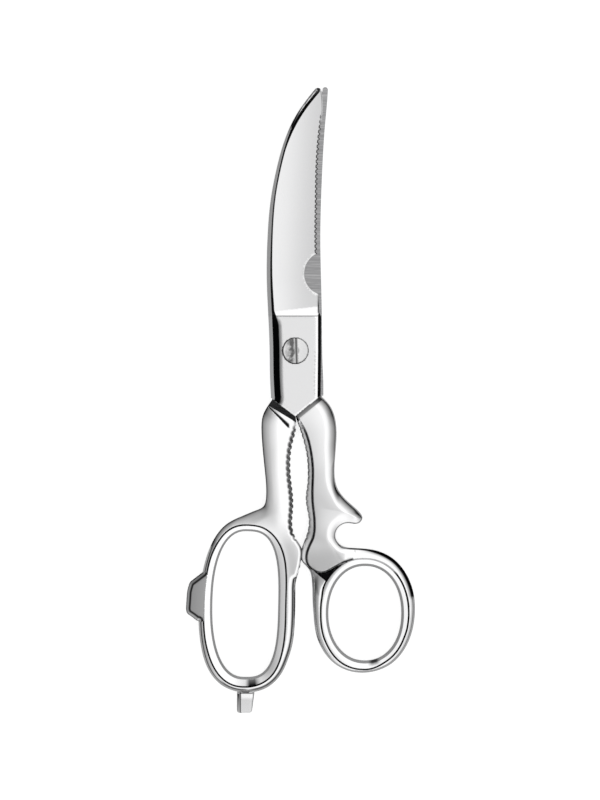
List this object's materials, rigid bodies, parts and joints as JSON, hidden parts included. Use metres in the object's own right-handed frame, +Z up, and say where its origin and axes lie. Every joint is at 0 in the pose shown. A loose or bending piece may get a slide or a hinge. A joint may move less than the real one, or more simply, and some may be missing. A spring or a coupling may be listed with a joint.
{
  "type": "kitchen shears",
  "caption": "All-metal kitchen shears with curved blades, a serrated edge, a bone notch, a toothed jaw, a bottle opener, a lid lifter and a screwdriver tab.",
  "frame": {"origin": "on the pivot axis, at the flat underside of the rear block that the shears lie on", "axes": "+Z up along the pivot axis towards the screw's head, +Y towards the blade tips, +X towards the thumb bow"},
  "size_m": [0.075, 0.2049, 0.0085],
  "materials": {
    "plated_steel": "polished plating on forged steel, with satin ground faces",
    "turned_steel": "turned and polished"
  },
  "bodies": {
    "rear": {"rear_half": "plated_steel", "pivot_screw": "turned_steel", "spring_washer": "turned_steel", "pivot_nut": "turned_steel"},
    "front": {"front_half": "plated_steel"}
  },
  "joints": [
    {"name": "pivot", "type": "hinge", "parent": "rear", "child": "front", "pos_m": [0, 0, 0.00423], "axis": [0, 0, 1], "range_deg": [0, 90]}
  ]
}
